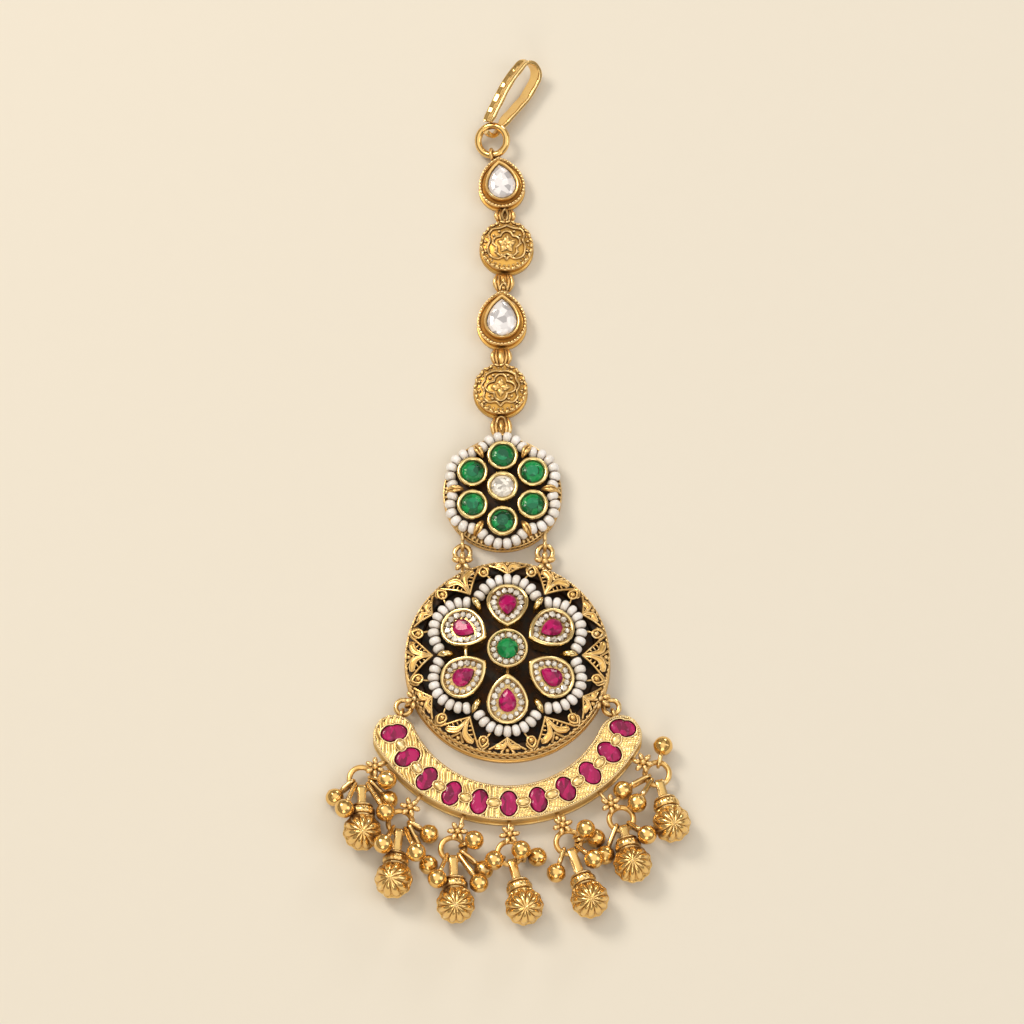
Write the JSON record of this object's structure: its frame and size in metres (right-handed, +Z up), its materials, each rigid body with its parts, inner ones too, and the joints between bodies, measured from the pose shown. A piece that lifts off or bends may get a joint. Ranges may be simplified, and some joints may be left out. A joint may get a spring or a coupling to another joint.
{
  "type": "maang tikka",
  "caption": "Forehead jewel: hair hook, gem-set links, emerald disc, large ruby disc with pearls, and a ruby crescent hung with ribbed bells and small ball drops.",
  "frame": {"origin": "middle of the large disc's flat back, which lies on the surface", "axes": "+Z up out of the jewel's face, +Y along the jewel towards the hook, +X to the right seen from above"},
  "size_m": [0.0544, 0.1384, 0.0088],
  "materials": {
    "antique_gold": "antique gold plate, darkened in the recesses",
    "crescent_gold": "pale textured gold plate",
    "polished_gold": "polished gold plate",
    "ruby": "cut and polished, foil backed",
    "emerald": "cut and polished, foil backed",
    "clear_stone": "cut and polished",
    "pearl": "satin pearl"
  },
  "bodies": {
    "root": {"ball_drops_1": "polished_gold", "ball_drops_2": "polished_gold", "ball_drops_3": "polished_gold", "ball_drops_4": "polished_gold", "ball_drops_5": "polished_gold", "ball_drops_6": "polished_gold", "ball_drops_7": "polished_gold", "bell_1": "polished_gold", "bell_2": "polished_gold", "bell_3": "polished_gold", "bell_4": "polished_gold", "bell_5": "polished_gold", "bell_6": "polished_gold", "bell_7": "polished_gold", "clear_stone": "clear_stone", "crescent": "crescent_gold", "crescent_ring_left": "polished_gold", "crescent_ring_right": "polished_gold", "crescent_rubies": "ruby", "disc_ring_left": "polished_gold", "disc_ring_right": "polished_gold", "emerald_1": "emerald", "emerald_2": "emerald", "emerald_3": "emerald", "emerald_4": "emerald", "emerald_5": "emerald", "emerald_6": "emerald", "emerald_disc_pearls": "pearl", "emerald_disc_setting": "antique_gold", "hook": "polished_gold", "hub_emerald": "emerald", "large_disc_pearls": "pearl", "large_disc_setting": "antique_gold", "petal_link_1": "antique_gold", "petal_link_2": "antique_gold", "petal_link_3": "antique_gold", "petal_link_4": "antique_gold", "round_link_1": "antique_gold", "round_link_2": "antique_gold", "ruby_drop_1": "ruby", "ruby_drop_2": "ruby", "ruby_drop_3": "ruby", "ruby_drop_4": "ruby", "ruby_drop_5": "ruby", "ruby_drop_6": "ruby", "teardrop_link_1": "antique_gold", "teardrop_link_2": "antique_gold", "teardrop_stone_1": "clear_stone", "teardrop_stone_2": "clear_stone", "top_ring": "polished_gold"}
  },
  "joints": []
}
